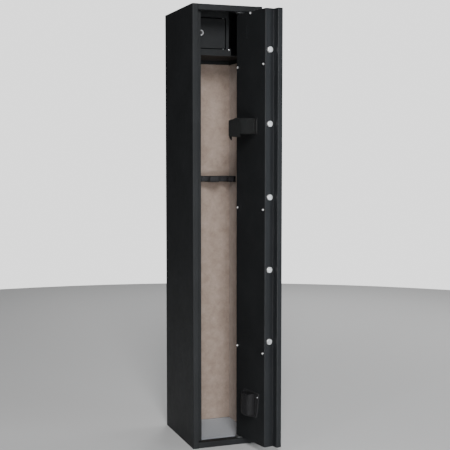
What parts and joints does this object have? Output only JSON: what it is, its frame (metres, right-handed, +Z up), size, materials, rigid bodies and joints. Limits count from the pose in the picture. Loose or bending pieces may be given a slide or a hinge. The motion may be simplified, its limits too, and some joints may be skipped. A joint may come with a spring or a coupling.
{
  "type": "gun safe",
  "caption": "Tall narrow steel gun safe with a hung door, round locking bolts, padded barrel rest, shelf with a small lockable locker, strap and muzzle pouch on the door.",
  "frame": {"origin": "centre of the underside of the body, on the floor", "axes": "+Z up, +Y to the back wall, so the doorway faces -Y; +X to the hinge side"},
  "size_m": [0.2837, 0.4723, 1.5],
  "materials": {
    "powder_coat": "black fine-textured satin powder coat on steel",
    "cover_coat": "black matt powder coat on sheet steel",
    "bolt_chrome": "turned and chrome-plated steel",
    "zinc_steel": "bright zinc-plated steel",
    "bare_steel": "plain cold-rolled steel, lightly oiled",
    "hard_steel": "dark hardened plate",
    "black_nylon": "moulded black nylon",
    "bronze": "sintered bronze",
    "lining_felt": "taupe needle-felt lining",
    "mat_carpet": "light grey cut-pile carpet",
    "webbing": "black woven webbing with hook-and-loop face",
    "pouch_fabric": "black coated nylon fabric",
    "rest_foam": "black closed-cell foam"
  },
  "bodies": {
    "safe_body": {"left_side_panel": "powder_coat", "right_side_panel": "powder_coat", "strike_rail": "powder_coat", "top_panel": "powder_coat", "base_panel": "powder_coat", "back_panel": "powder_coat", "hinge_plates": "zinc_steel", "hinge_plate_screws": "zinc_steel", "hinge_pins": "zinc_steel", "hinge_thrust_washer": "zinc_steel", "back_lining": "lining_felt", "left_lining": "lining_felt", "right_lining": "lining_felt", "floor_mat": "mat_carpet", "shelf": "powder_coat", "locker_case": "powder_coat", "locker_front_frame": "powder_coat", "locker_fixing_screws": "bolt_chrome", "locker_hinge_tabs": "powder_coat", "locker_hinge_pins": "zinc_steel", "barrel_rest_bracket": "powder_coat", "barrel_rest_pad": "rest_foam", "barrel_rest_screws": "bolt_chrome"},
    "door": {"door_front_pan": "powder_coat", "bolt_box_frame": "powder_coat", "inner_cover": "cover_coat", "cover_studs": "zinc_steel", "cover_cap_nuts": "bolt_chrome", "blanking_plate": "cover_coat", "hinge_sockets": "bare_steel", "bolt_guide_bushes": "black_nylon", "bar_guide_posts": "bare_steel", "bar_guide_nuts": "zinc_steel", "hard_plate": "hard_steel", "spindle_bush": "bronze", "handle_rose": "bolt_chrome", "key_escutcheon": "bolt_chrome", "lock_case": "bare_steel", "lock_spacers": "zinc_steel", "lock_case_screws": "zinc_steel", "gun_strap": "webbing", "muzzle_pouch": "pouch_fabric", "strap_rivets": "bolt_chrome", "pouch_rivets": "bolt_chrome"},
    "bolt_work": {"locking_bolts": "bolt_chrome", "bolt_bar": "bare_steel", "bolt_bar_screws": "zinc_steel"},
    "handle": {"handle_knob": "bolt_chrome", "handle_spindle": "bare_steel", "spindle_retaining_ring": "zinc_steel", "bolt_crank": "bare_steel"},
    "key": {"key": "bolt_chrome", "lock_follower": "bare_steel"},
    "lock_bolt": {"lock_bolt": "bare_steel"},
    "locker_door": {"locker_door": "powder_coat", "locker_lock_housing": "bolt_chrome", "locker_lock_nut": "zinc_steel"},
    "locker_lock": {"locker_lock_plug": "bolt_chrome", "locker_lock_cam": "zinc_steel"}
  },
  "joints": [
    {"name": "door_hinge", "type": "hinge", "parent": "safe_body", "child": "door", "pos_m": [0.0793, -0.1371, 0.75], "axis": [0, 0, 1], "range_deg": [-101, 0]},
    {"name": "bolt_slide", "type": "slide", "parent": "door", "child": "bolt_work", "axis": [-0.1908, 0.9816, 0], "range_m": [-0.02, 0]},
    {"name": "handle_turn", "type": "hinge", "parent": "door", "child": "handle", "pos_m": [0.11579, -0.21792, 0.76], "axis": [-0.9816, -0.1908, 0], "range_deg": [-90, 0]},
    {"name": "lock_bolt_lift", "type": "slide", "parent": "door", "child": "lock_bolt", "axis": [0, 0, -1], "range_m": [-0.01, 0]},
    {"name": "key_turn", "type": "hinge", "parent": "door", "child": "key", "pos_m": [0.10969, -0.18651, 0.84], "axis": [-0.9816, -0.1908, 0], "range_deg": [-90, 0]},
    {"name": "locker_door_hinge", "type": "hinge", "parent": "safe_body", "child": "locker_door", "pos_m": [0.0305, -0.027, 1.42], "axis": [0, 0, 1], "range_deg": [0, 90]},
    {"name": "locker_lock_turn", "type": "hinge", "parent": "locker_door", "child": "locker_lock", "pos_m": [-0.0535, -0.0325, 1.4205], "axis": [0, -1, 0], "range_deg": [-90, 0]}
  ],
  "couplings": [
    {"joint": "handle_turn", "follows": "bolt_slide", "rad_per_m": 78.54},
    {"joint": "key_turn", "follows": "lock_bolt_lift", "rad_per_m": 157.08}
  ]
}
